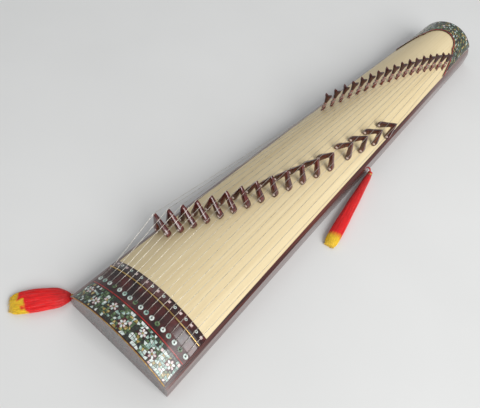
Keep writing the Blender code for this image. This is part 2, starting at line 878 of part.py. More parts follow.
def make_tassel(name, side, cord_run, body, material):
    """Silk tassel: a short cord out of the rail, a knot and a spreading skirt."""
    cord = TASSEL_CORD_RADIUS
    rail = side * half_width(cord_run)
    inside = rail - side * (RAIL_THICKNESS + 2 * cord)
    stations = [
        (place(cord_run, inside, TASSEL_CORD_HEIGHT), cord, cord),
        (place(cord_run, rail + side * 2 * cord, TASSEL_CORD_HEIGHT), cord, cord),
    ]
    for run, y, wide, high in body:
        stations.append((place(run, y, TASSEL_REST + high), wide, high))
    rings = []
    for index, (centre, wide, high) in enumerate(stations):
        before = stations[max(0, index - 1)][0]
        after = stations[min(len(stations) - 1, index + 1)][0]
        if index < 2:
            ahead = Vector((0, side, 0))
        else:
            ahead = after - before
            ahead.z = 0.0
            ahead.normalize()
        across = Vector((-ahead.y, ahead.x, 0))
        ring = []
        for step in range(TASSEL_SIDES):
            angle = 2 * pi * step / TASSEL_SIDES
            ring.append(centre + across * wide * cos(angle) + Vector((0, 0, high * sin(angle))))
        rings.append(ring)
    tassel = loft(name, rings, material)
    smooth(tassel, radians(60))
    return tassel


def main():
    clear_scene()
    pale = make_material("soundboard_wood", PALE_WOOD, 0.45)
    rail_wood = make_material("rail_wood", ROSEWOOD, 0.3)
    plain = make_material("bottom_wood", PLAIN_WOOD, 0.6)
    lacquer = make_material("head_lacquer", LACQUER, 0.2)
    cap_lacquer = make_material("cap_lacquer", LACQUER, 0.2)
    bridge_wood = make_material("bridge_wood", ROSEWOOD, 0.3)
    peg_wood = make_material("peg_wood", ROSEWOOD, 0.3)
    brass = make_material("rod_brass", BRASS, 0.3, 1.0)
    steel = make_material("string_steel", STEEL, 0.35, 1.0)
    silk = make_material("tassel_silk", RED_SILK, 0.7)
    make_rail("left_rail", 1, LEFT_TASSEL_RUN, rail_wood)
    make_rail("right_rail", -1, RIGHT_TASSEL_RUN, rail_wood)
    make_soundboard(pale)
    make_bottom_board(plain)
    make_head_block(lacquer)
    make_nut_rod(brass)
    make_tail_cap(cap_lacquer)
    make_bridges(bridge_wood)
    make_pegs(peg_wood)
    make_strings(steel)
    make_tassel("tassel_left", 1, LEFT_TASSEL_RUN, LEFT_TASSEL, silk)
    make_tassel("tassel_right", -1, RIGHT_TASSEL_RUN, RIGHT_TASSEL, silk)


main()
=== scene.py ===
"""Dan tranh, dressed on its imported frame.

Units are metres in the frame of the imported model: +X runs from the head to the
tail, +Z is up and the ground is at 0. run is the distance from the head's edge.
"""
import random
from math import asin, atan2, cos, degrees, pi, radians, sin, sqrt

import bpy
from mathutils import Matrix, Vector


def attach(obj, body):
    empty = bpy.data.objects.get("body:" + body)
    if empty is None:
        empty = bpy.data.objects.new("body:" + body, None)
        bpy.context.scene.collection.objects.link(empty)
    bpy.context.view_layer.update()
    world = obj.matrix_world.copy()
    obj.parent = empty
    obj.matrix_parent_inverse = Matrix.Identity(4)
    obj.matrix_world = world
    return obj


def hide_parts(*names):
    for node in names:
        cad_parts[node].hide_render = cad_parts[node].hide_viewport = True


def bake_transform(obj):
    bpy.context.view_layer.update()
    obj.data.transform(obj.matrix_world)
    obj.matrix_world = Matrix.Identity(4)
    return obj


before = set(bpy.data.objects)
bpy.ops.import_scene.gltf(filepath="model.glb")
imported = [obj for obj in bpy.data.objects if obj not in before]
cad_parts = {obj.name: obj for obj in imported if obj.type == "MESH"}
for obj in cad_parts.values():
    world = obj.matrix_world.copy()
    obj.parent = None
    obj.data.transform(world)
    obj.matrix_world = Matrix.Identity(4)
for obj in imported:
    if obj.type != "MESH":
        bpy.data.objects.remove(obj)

bpy.context.view_layer.update()

# The part's own sizes, as its source gives them
LENGTH = 1.100
HEAD_WIDTH = 0.210
TAIL_WIDTH = 0.130
HEAD_ARCH, MIDDLE_ARCH, TAIL_ARCH = 0.040, 0.034, 0.052
HEAD_SIDE, MIDDLE_SIDE, TAIL_SIDE = 0.030, 0.039, 0.024
GAP = 0.0003
RAIL_THICKNESS = 0.006
HEAD_LENGTH = 0.091
SLOPE_START = 0.056
RIDGE_START = 0.0705
RIDGE_END = 0.078
RIDGE_RISE = 0.0035
ROD_RUN = 0.0742
ROD_RADIUS = 0.0011
ROD_SINK = 0.0009
STRING_COUNT = 17
STRING_DIAMETER = 0.0007
STRING_HOLE_RUN = 0.050
STRING_SPACING = 0.0115
STRING_TAIL = 0.014
STRING_LIFT = 0.0010
BRIDGE_FIRST_REACH = 0.098
BRIDGE_FIRST_STEP = 0.0183
BRIDGE_STEP_GROWTH = 1.06
BASS_START = 13
BASS_GAP = 0.014
BRIDGE_INSET = 0.90
BRIDGE_HEIGHT = 0.043
BRIDGE_FOOT_SPREAD = 0.0158
FIRST_PEG_RUN, LAST_PEG_RUN = 0.617, 0.948
FIRST_PEG_Y, LAST_PEG_Y = 0.063, -0.053
PEG_LEAN = radians(4)
PEG_SHAFT_RADIUS = 0.0032
PEG_WAIST_RADIUS = 0.0030
PEG_BULB_RADIUS = 0.0042
PEG_HEIGHT = 0.045
PEG_BELOW = 0.019
PEG_HEAD_HALF_WIDTH = 0.0070
PEG_HEAD_HALF_DEPTH = 0.0024
PEG_NOTCH = 0.0045
PEG_TURN = radians(106)
PEG_TURN_SPREAD = radians(12)
WINDING_TURNS = 2.5
WINDING_PITCH = 0.0012
WINDING_TOP = 0.0195
CAP_THICKNESS = 0.0020
CAP_CENTRE_REACH = 0.045
CAP_CUSP_REACH = 0.079
CAP_ARM_REACH = 0.160
CAP_CUSP_SHARE = 0.54
CAP_ARM_CURVE = 1.5
TASSEL_CORD_RADIUS = 0.0014
TASSEL_CORD_HEIGHT = 0.0100
TASSEL_REST = 0.0005
LEFT_TASSEL_RUN = 0.014
RIGHT_TASSEL_RUN = 0.5955
LEFT_TASSEL = (
    (0.0105, 0.1120, 0.0050, 0.0050),
    (0.0070, 0.1150, 0.0045, 0.0045),
    (0.0020, 0.1190, 0.0100, 0.0065),
    (-0.0080, 0.1265, 0.0165, 0.0080),
    (-0.0220, 0.1375, 0.0190, 0.0085),
    (-0.0380, 0.1500, 0.0200, 0.0080),
    (-0.0520, 0.1610, 0.0195, 0.0065),
    (-0.0610, 0.1685, 0.0170, 0.0045),
    (-0.0655, 0.1720, 0.0120, 0.0030),
)
RIGHT_TASSEL = (
    (0.5900, -0.0915, 0.0050, 0.0050),
    (0.5840, -0.0930, 0.0045, 0.0045),
    (0.5760, -0.0945, 0.0058, 0.0055),
    (0.5500, -0.0992, 0.0072, 0.0065),
    (0.5150, -0.1056, 0.0090, 0.0075),
    (0.4800, -0.1120, 0.0104, 0.0080),
    (0.4450, -0.1185, 0.0116, 0.0080),
    (0.4120, -0.1247, 0.0124, 0.0070),
    (0.3930, -0.1283, 0.0118, 0.0055),
    (0.3850, -0.1298, 0.0085, 0.0035),
)

# Inlay, where a reach or a share is a part of the arch's half angle, and a fill of a tile's size
INLAY_RISE = 0.00022
INLAY_SINK = 0.00040
INLAY_SEED = 7
PANEL_START, PANEL_END = 0.0030, 0.0375
PANEL_COLUMNS, PANEL_ROWS = 46, 8
PANEL_REACH = 0.985
PANEL_WANDER = 0.36
PANEL_FILL = (0.80, 0.92)
FLOWER_RUN = 0.0205
FLOWER_COUNT = 7
FLOWER_SHIFT = 0.005
FLOWER_REACH = 0.86
FLOWER_SIZE = 0.0068
FLOWER_ROOM = 0.0074
PETALS = 6
PETAL_LENGTH, PETAL_WIDTH, PETAL_START, EYE_RADIUS = 0.72, 0.56, 0.24, 0.20
EYE_SIDES = 8
RED_LINE_RUNS = (0.0392, 0.0406)
STRIP_STEPS, STRIP_REACH = 48, 0.99
GOLD_EDGE_RUN, GOLD_EDGE_RADIUS = 0.0007, 0.0007
GOLD_EDGE_STEPS, GOLD_EDGE_SIDES = 64, 8
HOLE_RING_RADII = (0.0013, 0.0038)
HOLE_RING_SIDES = 18
BAND_RUN = (RIDGE_END + HEAD_LENGTH) / 2 + 0.0005
BAND_REACH = 0.93
BAND_RING_RADII = (0.0011, 0.0024)
BAND_RING_SIDES = 14
BAND_SQUARE_HALF = 0.0021
CAP_COLUMNS = 30
CAP_MOSAIC_REACH = 0.965
CAP_TILE_LENGTH = 0.0050
CAP_LEAST_ROWS = 4
CAP_MOSAIC_START, CAP_MOSAIC_MARGIN = 0.0045, 0.0070
CAP_WANDER, CAP_SIDE_WANDER = 0.18, 0.012
CAP_FILL = (0.74, 0.90)
CAP_ODDS = (30, 7, 4, 20, 42, 3)
CAP_LINE_STEPS, CAP_LINE_REACH = 96, 0.985
CAP_LINE_EDGES = (0.0006, 0.0022)

# Fineness and detail of the turned and wound pieces
WELD_DISTANCE = 0.00001
SOFT_EDGE_ANGLE = radians(28)
BRIDGE_EDGE = 0.0005
ROD_STEPS, ROD_SIDES = 80, 14
PEARL_SIDES = 14
PEARL_ASIDE, PEARL_HEIGHT = 0.0144, 0.0076
PEARL_ROWS = ((0.0036, 0.0026), (0.0048, 0.0026), (0.0051, 0.0019), (0.0052, 0.0009))
PEG_SIDES, PEG_STEPS = 28, 4
PEG_NOTCH_CURVE = 0.8
PEG_WAIST_BOTTOM, PEG_WAIST_TOP = 0.0128, 0.0235
PEG_TURN_STEP = 2.4
STRING_SIDES, STRING_STEPS = 8, 16
STRING_LEAN = 0.0004
WINDING_STEPS = 24

# Tassels
CORD_START, CORD_LEVEL, CORD_DROP = 0.0030, 0.0028, 0.0002
CORD_SIDES = 14
RING_STEPS = 8
SKIRT_SIDES, SKIRT_FLUTES = 72, 18
FLUTE_DEPTH, FLUTE_START = 0.10, 5
THREAD_COUNT, THREAD_SIDES = 64, 6
THREAD_RADIUS, THREAD_TIP = 0.00042, 0.00018
THREAD_SCATTER, THREAD_DRIFT = 0.04, 0.10
THREAD_FIRST, THREAD_STEP, THREAD_SHORTER = 10, 3, 3
THREAD_SIZE, THREAD_WAVE = 0.97, 0.02
FRINGE_REACH = (0.0015, 0.0040)
FRINGE_DROP, FRINGE_FLOOR = 0.25, 0.001
BINDING_TURNS, BINDING_STEPS, BINDING_SIDES = 4, 20, 8
BINDING_RADIUS, BINDING_PITCH, BINDING_THREAD = 0.0047, 0.0009, 0.0005

# Camera and studio
CAMERA_PLACE = (-0.707458, -0.261819, 0.777125)
CAMERA_AHEAD = (0.51294599, 0.3173983, -0.79758682)
CAMERA_UP = (0.56525641, 0.57437215, 0.5920995)
CAMERA_LENS = 38.69
SENSOR_WIDTH = 36
FLOOR_HALF = 12.0
FLOOR_DROP = 0.0002
KEY_PLACE, KEY_SIZE, KEY_POWER = (-0.8, -3.2, 2.5), 2.8, 150
FILL_PLACE, FILL_SIZE, FILL_POWER = (2.4, 2.0, 3.2), 3.0, 15
SKY_COLOUR = (0.95, 0.97, 1.0, 1.0)
SKY_STRENGTH = 0.42


# Form of the body

def along(head, middle, tail, run):
    t = run / LENGTH
    return head * (1 - t) * (1 - 2 * t) + middle * 4 * t * (1 - t) + tail * t * (2 * t - 1)


def half_width(run):
    return (HEAD_WIDTH + (TAIL_WIDTH - HEAD_WIDTH) * run / LENGTH) / 2


def inner_half_width(run):
    return half_width(run) - RAIL_THICKNESS - GAP


def arc(run):
    width = half_width(run)
    rise = along(HEAD_ARCH, MIDDLE_ARCH, TAIL_ARCH, run)
    radius = (width * width + rise * rise) / (2 * rise)
    return radius, along(HEAD_SIDE, MIDDLE_SIDE, TAIL_SIDE, run) + rise - radius


def place(run, y, z):
    return Vector((run - LENGTH / 2, y, z))


def on_top(run, y, offset=0.0):
    radius, centre = arc(run)
    return place(run, y, centre + sqrt((radius + offset) ** 2 - y * y))


def share_y(run, share):
    """Sideways place at a share, -1 to 1, of the arch's half angle."""
    radius = arc(run)[0]
    return radius * sin(share * asin(inner_half_width(run) / radius))


def top_frame(run, y, slant=0.0):
    step = 0.0005
    forward = on_top(run + step, y + slant * step) - on_top(run - step, y - slant * step)
    sideways = on_top(run, y + step) - on_top(run, y - step)
    normal = forward.cross(sideways).normalized()
    forward.normalize()
    return forward, normal.cross(forward), normal


def head_rise(run):
    if run <= SLOPE_START:
        return 0.0
    if run < RIDGE_START:
        return RIDGE_RISE * (run - SLOPE_START) / (RIDGE_START - SLOPE_START)
    if run <= RIDGE_END:
        return RIDGE_RISE
    return RIDGE_RISE * (HEAD_LENGTH - run) / (HEAD_LENGTH - RIDGE_END)


def cap_rise(run):
    """The cap is as thick at each run, and takes one because head_rise does."""
    return GAP + CAP_THICKNESS


def cap_reach(share):
    share = abs(share)
    if share <= CAP_CUSP_SHARE:
        arch = 1 - sqrt(1 - (share / CAP_CUSP_SHARE) ** 2)
        return CAP_CENTRE_REACH + (CAP_CUSP_REACH - CAP_CENTRE_REACH) * arch
    arm = (share - CAP_CUSP_SHARE) / (1 - CAP_CUSP_SHARE)
    return CAP_CUSP_REACH + (CAP_ARM_REACH - CAP_CUSP_REACH) * arm ** CAP_ARM_CURVE


def hole_y(index):
    return STRING_SPACING * ((STRING_COUNT - 1) / 2 - index)


def peg_place(index):
    share = index / (STRING_COUNT - 1)
    run = FIRST_PEG_RUN + (LAST_PEG_RUN - FIRST_PEG_RUN) * share
    return run, FIRST_PEG_Y + (LAST_PEG_Y - FIRST_PEG_Y) * share


def string_slant(index):
    peg_run, peg_y = peg_place(index)
    return (peg_y - hole_y(index)) / (peg_run - STRING_HOLE_RUN)


def bridge_frame(index):
    grown = (BRIDGE_STEP_GROWTH ** index - 1) / (BRIDGE_STEP_GROWTH - 1)
    run = ROD_RUN + BRIDGE_FIRST_REACH + BRIDGE_FIRST_STEP * grown
    if index >= BASS_START:
        run += BASS_GAP
    slant = string_slant(index) * BRIDGE_INSET
    y = (hole_y(index) + string_slant(index) * (run - STRING_HOLE_RUN)) * BRIDGE_INSET
    forward, sideways, normal = top_frame(run, y, slant)
    radius = arc(run)[0]
    drop = radius - sqrt(radius ** 2 - BRIDGE_FOOT_SPREAD ** 2)
    origin = on_top(run, y) + normal * (GAP - drop)
    return Matrix.Translation(origin) @ Matrix((forward, sideways, normal)).transposed().to_4x4()


def peg_frame(index):
    run, y = peg_place(index)
    return Matrix.Translation(on_top(run, y)) @ Matrix.Rotation(PEG_LEAN, 4, "X")


def spread(count, reach=1.0):
    """Shares from -reach to reach, with count equal steps between them."""
    return [-reach + 2 * reach * step / count for step in range(count + 1)]


# Camera, at the photograph's angle

def add_object(name, data):
    item = bpy.data.objects.new(name, data)
    bpy.context.scene.collection.objects.link(item)
    return item


def make_camera():
    ahead = Vector(CAMERA_AHEAD).normalized()
    right = ahead.cross(Vector(CAMERA_UP)).normalized()
    up = right.cross(ahead)
    data = bpy.data.cameras.new("camera")
    data.lens = CAMERA_LENS
    data.sensor_width = SENSOR_WIDTH
    camera = add_object("camera", data)
    axes = Matrix((right, up, -ahead)).transposed()
    camera.matrix_world = Matrix.Translation(CAMERA_PLACE) @ axes.to_4x4()
    bpy.context.scene.camera = camera


# Materials

def srgb(red, green, blue):
    """Linear colour of one written as it shows on a screen, 0 to 255."""
    made = []
    for value in (red, green, blue):
        value /= 255
        made.append(value / 12.92 if value <= 0.04045 else ((value + 0.055) / 1.055) ** 2.4)
    return (*made, 1.0)


def connect(nodes, links, kind, **wanted):
    """New node with settings, and inputs given as values or as other nodes' outputs."""
    node = nodes.new(kind)
    for key, value in wanted.items():
        if key.startswith("in_"):
            socket = node.inputs[int(key[3:])]
            if isinstance(value, bpy.types.NodeSocket):
                links.new(value, socket)
            else:
                socket.default_value = value
        else:
            setattr(node, key, value)
    return node


def noise(nodes, links, source, stretch, detail=4.0, rough=0.55, turn=0.0):
    """Noise in the object's own space, stretched by a scale along each axis."""
    if turn:
        source = connect(nodes, links, "ShaderNodeMapping", in_0=source, in_2=(0, 0, turn)).outputs[0]
    scaled = connect(nodes, links, "ShaderNodeMapping", in_0=source, in_3=stretch)
    made = nodes.new("ShaderNodeTexNoise")
    made.inputs["Scale"].default_value = 1.0
    made.inputs["Detail"].default_value = detail
    made.inputs["Roughness"].default_value = rough
    links.new(scaled.outputs[0], made.inputs["Vector"])
    return made.outputs["Fac"]


def ramp(nodes, links, source, stops):
    made = nodes.new("ShaderNodeValToRGB")
    band = made.color_ramp
    while len(band.elements) < len(stops):
        band.elements.new(0.5)
    for element, (position, colour) in zip(band.elements, stops):
        element.position = position
        element.color = colour
    links.new(source, made.inputs[0])
    return made.outputs[0]


def mix(nodes, links, factor, first, second, blend="MIX"):
    made = nodes.new("ShaderNodeMix")
    made.data_type = "RGBA"
    made.blend_type = blend
    for socket, value in ((0, factor), (6, first), (7, second)):
        if isinstance(value, bpy.types.NodeSocket):
            links.new(value, made.inputs[socket])
        else:
            made.inputs[socket].default_value = value
    return made.outputs[2]


def span(nodes, links, source, low, high, start=0.0, end=1.0):
    made = connect(nodes, links, "ShaderNodeMapRange", in_1=start, in_2=end, in_3=low, in_4=high)
    links.new(source, made.inputs[0])
    return made.outputs[0]


def finish_material(name, paint, rough, bump=None, sockets=None):
    """Material whose colour, roughness and bump come from its own nodes."""
    material = bpy.data.materials.new(name)
    material.use_nodes = True
    nodes = material.node_tree.nodes
    links = material.node_tree.links
    shader = nodes["Principled BSDF"]
    space = nodes.new("ShaderNodeTexCoord").outputs["Object"]
    links.new(paint(nodes, links, space), shader.inputs["Base Color"])
    stretch, low, high = rough
    roughness = span(nodes, links, noise(nodes, links, space, stretch), low, high, 0.3, 0.7)
    links.new(roughness, shader.inputs["Roughness"])
    if bump:
        stretch, strength, distance = bump
        relief = nodes.new("ShaderNodeBump")
        relief.inputs["Strength"].default_value = strength
        relief.inputs["Distance"].default_value = distance
        links.new(noise(nodes, links, space, stretch), relief.inputs["Height"])
        links.new(relief.outputs[0], shader.inputs["Normal"])
    for socket, value in (sockets or {}).items():
        shader.inputs[socket].default_value = value
    return material


def coat(weight, roughness):
    return {"Coat Weight": weight, "Coat Roughness": roughness}


def grain_paint(fine, broad, fine_stops, broad_stops, share):
    """Paint of fine grain over broader bands of colour."""

    def paint(nodes, links, space):
        lines = ramp(nodes, links, noise(nodes, links, space, fine), fine_stops)
        bands = ramp(nodes, links, noise(nodes, links, space, broad, 2.0), broad_stops)
        return mix(nodes, links, share, lines, bands)

    return paint


def cloud_paint(stretch, stops):
    """Paint of one soft noise."""

    def paint(nodes, links, space):
        return ramp(nodes, links, noise(nodes, links, space, stretch, 3.0), stops)

    return paint


def pearl(name, colours):
    """Mother-of-pearl: bands of close colours under a clear coat."""
    last = len(colours) - 1
    stops = [(0.32 + 0.36 * index / last, srgb(*colour)) for index, colour in enumerate(colours)]
    return finish_material(
        name, cloud_paint((260, 260, 260), stops), ((900, 900, 900), 0.16, 0.28),
        ((700, 700, 700), 0.12, 0.0003), coat(0.8, 0.08),
    )


def silk(name, centre, direction, reach, stops, patches):
    """Silk thread, red to yellow along the tassel, with fine streaks along it."""
    turn = -atan2(direction[1], direction[0])

    def paint(nodes, links, space):
        def sum_node(kind, operation, **inputs):
            return connect(nodes, links, kind, operation=operation, **inputs).outputs

        moved = sum_node("ShaderNodeVectorMath", "SUBTRACT", in_0=space, in_1=centre)
        dot = sum_node("ShaderNodeVectorMath", "DOT_PRODUCT", in_0=moved[0], in_1=(*direction, 0.0))
        share = span(nodes, links, dot["Value"], 0.0, 1.0, 0.0, reach)
        wander = noise(nodes, links, space, (38, 38, 38), 2.0)
        streak = noise(nodes, links, space, (30, 900, 900), 2.0, 0.5, turn)
        loose = sum_node("ShaderNodeMath", "MULTIPLY_ADD", in_0=wander, in_1=patches, in_2=-0.5 * patches)
        whole = sum_node("ShaderNodeMath", "ADD", in_0=share, in_1=loose[0])
        colour = ramp(nodes, links, whole[0], stops)
        shade = ramp(nodes, links, streak, [(0.3, (0.55, 0.55, 0.55, 1)), (0.62, (1, 1, 1, 1))])
        return mix(nodes, links, 0.75, colour, shade, "MULTIPLY")

    return finish_material(
        name, paint, ((200, 200, 200), 0.42, 0.60), ((700, 700, 700), 0.3, 0.0004),
        {"Sheen Weight": 0.5, "Sheen Roughness": 0.4},
    )


MATERIALS = {}


def make_materials():
    made = MATERIALS
    made["board"] = finish_material(
        "soundboard_grain",
        grain_paint(
            (2.2, 330, 330), (0.9, 46, 46),
            [(0.34, srgb(218, 196, 150)), (0.50, srgb(230, 210, 166)), (0.66, srgb(235, 217, 176))],
            [(0.36, srgb(222, 200, 154)), (0.64, srgb(234, 215, 172))], 0.5,
        ),
        ((3, 160, 160), 0.42, 0.56), ((3, 420, 420), 0.10, 0.0003), coat(0.25, 0.3),
    )
    made["rail"] = finish_material(
        "rail_lacquered_wood",
        grain_paint(
            (3, 260, 260), (1.5, 50, 50),
            [(0.36, srgb(38, 12, 10)), (0.52, srgb(82, 30, 22)), (0.68, srgb(106, 44, 30))],
            [(0.38, srgb(50, 18, 14)), (0.62, srgb(92, 36, 26))], 0.4,
        ),
        ((4, 120, 120), 0.18, 0.34), ((3, 300, 300), 0.12, 0.0004), coat(0.7, 0.12),
    )
    made["bottom"] = finish_material(
        "bottom_plain_wood",
        grain_paint(
            (2, 240, 240), (1, 34, 34),
            [(0.36, srgb(150, 112, 70)), (0.62, srgb(190, 152, 104))],
            [(0.38, srgb(158, 120, 78)), (0.62, srgb(196, 160, 112))], 0.5,
        ),
        ((3, 140, 140), 0.5, 0.68), ((3, 320, 320), 0.2, 0.0005),
    )
    made["lacquer"] = finish_material(
        "dark_red_lacquer",
        cloud_paint(
            (46, 46, 46), [(0.34, srgb(28, 8, 8)), (0.52, srgb(62, 16, 14)), (0.68, srgb(84, 24, 20))],
        ),
        ((120, 120, 120), 0.20, 0.34), ((260, 260, 260), 0.05, 0.0003), coat(0.6, 0.22),
    )
    made["cap"] = finish_material(
        "cap_lacquer_finish",
        cloud_paint(
            (60, 60, 60), [(0.34, srgb(22, 14, 10)), (0.52, srgb(50, 22, 16)), (0.68, srgb(70, 26, 22))],
        ),
        ((120, 120, 120), 0.12, 0.26), ((260, 260, 260), 0.05, 0.0003), coat(0.9, 0.06),
    )
    made["rosewood"] = finish_material(
        "bridge_rosewood",
        grain_paint(
            (240, 240, 60), (60, 60, 18),
            [(0.36, srgb(40, 10, 10)), (0.52, srgb(84, 24, 22)), (0.68, srgb(116, 40, 32))],
            [(0.38, srgb(52, 14, 12)), (0.62, srgb(100, 32, 28))], 0.4,
        ),
        ((180, 180, 60), 0.14, 0.30), ((300, 300, 90), 0.10, 0.0003), coat(0.8, 0.08),
    )
    made["peg_red"] = finish_material(
        "peg_red_wood",
        cloud_paint((300, 300, 60), [(0.36, srgb(60, 14, 14)), (0.62, srgb(118, 34, 30))]),
        ((200, 200, 60), 0.16, 0.32), ((300, 300, 80), 0.10, 0.0003), coat(0.7, 0.1),
    )
    # Pale waist: partly the wound string's colour, partly a painted highlight
    made["peg_pale"] = finish_material(
        "peg_waist_painted_highlight",
        cloud_paint((320, 320, 80), [(0.36, srgb(150, 96, 88)), (0.62, srgb(206, 160, 148))]),
        ((200, 200, 60), 0.24, 0.42), ((300, 300, 80), 0.12, 0.0003), coat(0.4, 0.15),
    )
    made["peg_dark"] = finish_material(
        "peg_dark_head",
        cloud_paint((300, 300, 60), [(0.36, srgb(34, 10, 10)), (0.62, srgb(82, 24, 22))]),
        ((200, 200, 60), 0.14, 0.30), ((300, 300, 80), 0.10, 0.0003), coat(0.8, 0.08),
    )
    made["brass"] = finish_material(
        "brass_rod_finish",
        cloud_paint((120, 30, 120), [(0.36, srgb(188, 152, 92)), (0.62, srgb(226, 196, 136))]),
        ((200, 60, 200), 0.20, 0.36), ((900, 120, 900), 0.08, 0.0002), {"Metallic": 1.0},
    )
    made["gold"] = finish_material(
        "gold_edge_paint",
        cloud_paint((300, 120, 300), [(0.36, srgb(166, 122, 56)), (0.62, srgb(214, 174, 98))]),
        ((400, 200, 400), 0.26, 0.42), ((700, 300, 700), 0.1, 0.0002), {"Metallic": 0.7},
    )
    made["steel"] = finish_material(
        "string_wire",
        cloud_paint((60, 900, 900), [(0.36, srgb(176, 172, 162)), (0.62, srgb(214, 210, 200))]),
        ((60, 600, 600), 0.24, 0.38), None, {"Metallic": 1.0},
    )
    made["red_line"] = finish_material(
        "red_line_paint",
        cloud_paint((200, 90, 200), [(0.36, srgb(140, 26, 20)), (0.62, srgb(182, 44, 32))]),
        ((200, 200, 200), 0.22, 0.36), ((400, 400, 400), 0.08, 0.0002), coat(0.6, 0.1),
    )
    made["pearls"] = [
        pearl("pearl_green", ((26, 48, 26), (72, 98, 62), (128, 146, 104))),
        pearl("pearl_cyan", ((84, 116, 108), (146, 176, 164), (198, 220, 208))),
        pearl("pearl_white", ((150, 172, 164), (206, 220, 212), (240, 240, 236))),
        pearl("pearl_gold", ((92, 78, 34), (158, 138, 70), (206, 190, 130))),
        pearl("pearl_dark", ((16, 22, 18), (36, 46, 38), (62, 74, 58))),
        pearl("pearl_pink", ((176, 146, 148), (216, 194, 190), (242, 228, 224))),
    ]
    made["floor"] = finish_material(
        "pale_floor",
        cloud_paint((2, 2, 2), [(0.3, srgb(226, 226, 224)), (0.7, srgb(232, 232, 230))]),
        ((6, 6, 6), 0.7, 0.8),
    )


TONES = GREEN, CYAN, WHITE, YELLOW, DARK, PINK = range(6)


# Pieces

def link_piece(name, data, body):
    item = add_object(name, data)
    if body:
        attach(item, body)
    return item


def mesh_data(name, points, faces, materials, chosen=None, smooth_angle=None):
    mesh = bpy.data.meshes.new(name)
    mesh.from_pydata([tuple(point) for point in points], [], faces)
    for material in materials:
        mesh.materials.append(material)
    if chosen:
        mesh.polygons.foreach_set("material_index", chosen)
    if smooth_angle:
        mesh.shade_smooth()
        mesh.set_sharp_from_angle(angle=smooth_angle)
    mesh.update()
    mesh.validate()
    return mesh


def ring_faces(rows, sides, start=0):
    """Quads between rows of points that go round a form, counted from a first point."""
    faces = []
    for level in range(rows - 1):
        low = start + level * sides
        for side in range(sides):
            after = (side + 1) % sides
            faces.append((low + side, low + after, low + sides + after, low + sides + side))
    return faces


def closed_faces(rows, sides):
    """The same quads with a face over each end, which come first."""
    ends = [tuple(range(sides))[::-1], tuple(range((rows - 1) * sides, rows * sides))]
    return ends + ring_faces(rows, sides)


def tube_data(name, points, radii, sides, material):
    """Mesh tube along points. radii is one radius or one for each point."""
    if not hasattr(radii, "__len__"):
        radii = [radii] * len(points)
    rings = []
    across = None
    for index, point in enumerate(points):
        before = points[max(0, index - 1)]
        after = points[min(len(points) - 1, index + 1)]
        ahead = (after - before).normalized()
        if across is None:
            across = ahead.orthogonal().normalized()
        across = (across - ahead * across.dot(ahead)).normalized()
        other = ahead.cross(across)
        for side in range(sides):
            angle = 2 * pi * side / sides
            rings.append(point + radii[index] * (across * cos(angle) + other * sin(angle)))
    faces = closed_faces(len(points), sides)
    return mesh_data(name, rings, faces, [material], smooth_angle=radians(50))


def tube(name, points, radii, sides, material, body="body"):
    return link_piece(name, tube_data(name, points, radii, sides, material), body)


def curve_through(points, steps):
    """Smooth line through points, with steps pieces between each two."""
    ends = [points[0] * 2 - points[1]] + list(points) + [points[-1] * 2 - points[-2]]
    line = []
    for before, first, second, after in zip(ends, ends[1:], ends[2:], ends[3:]):
        for step in range(steps):
            t = step / steps
            line.append(0.5 * (
                2 * first + (second - before) * t
                + (2 * before - 5 * first + 4 * second - after) * t * t
                + (3 * first - before - 3 * second + after) * t ** 3
            ))
    line.append(points[-1].copy())
    return line


def smoothing_group(angle):
    """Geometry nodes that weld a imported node's faces and shade it smooth up to an angle."""
    group = bpy.data.node_groups.new(f"smooth_to_{degrees(angle):.0f}", "GeometryNodeTree")
    for direction in ("INPUT", "OUTPUT"):
        group.interface.new_socket("Geometry", in_out=direction, socket_type="NodeSocketGeometry")
    nodes, links = group.nodes, group.links
    start = nodes.new("NodeGroupInput")
    end = nodes.new("NodeGroupOutput")
    clear = nodes.new("GeometryNodeRemoveAttribute")
    clear.inputs["Name"].default_value = "custom_normal"
    weld = nodes.new("GeometryNodeMergeByDistance")
    weld.inputs["Distance"].default_value = WELD_DISTANCE
    faces = nodes.new("GeometryNodeSetShadeSmooth")
    faces.domain = "FACE"
    edges = nodes.new("GeometryNodeSetShadeSmooth")
    edges.domain = "EDGE"
    edges.inputs[2].default_value = False
    bend = nodes.new("GeometryNodeInputMeshEdgeAngle")
    sharp = nodes.new("FunctionNodeCompare")
    sharp.data_type = "FLOAT"
    sharp.operation = "GREATER_THAN"
    sharp.inputs[1].default_value = angle
    links.new(bend.outputs[0], sharp.inputs[0])
    links.new(sharp.outputs[0], edges.inputs[1])
    chain = (start, clear, weld, faces, edges, end)
    for first, second in zip(chain, chain[1:]):
        links.new(first.outputs[0], second.inputs[0])
    return group


def dress_node(name, material, group, bevel=0.0):
    """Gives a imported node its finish, smooth shading and, where asked, soft edges."""
    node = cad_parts[name]
    for slot in node.material_slots:
        slot.material = material
    if bevel:
        weld = node.modifiers.new("weld", "WELD")
        weld.merge_threshold = WELD_DISTANCE
        soft = node.modifiers.new("soft_edges", "BEVEL")
        soft.width = bevel
        soft.segments = 2
        soft.limit_method = "ANGLE"
        soft.angle_limit = SOFT_EDGE_ANGLE
        soft.harden_normals = False
    shade = node.modifiers.new("smooth_shade", "NODES")
    shade.node_group = group


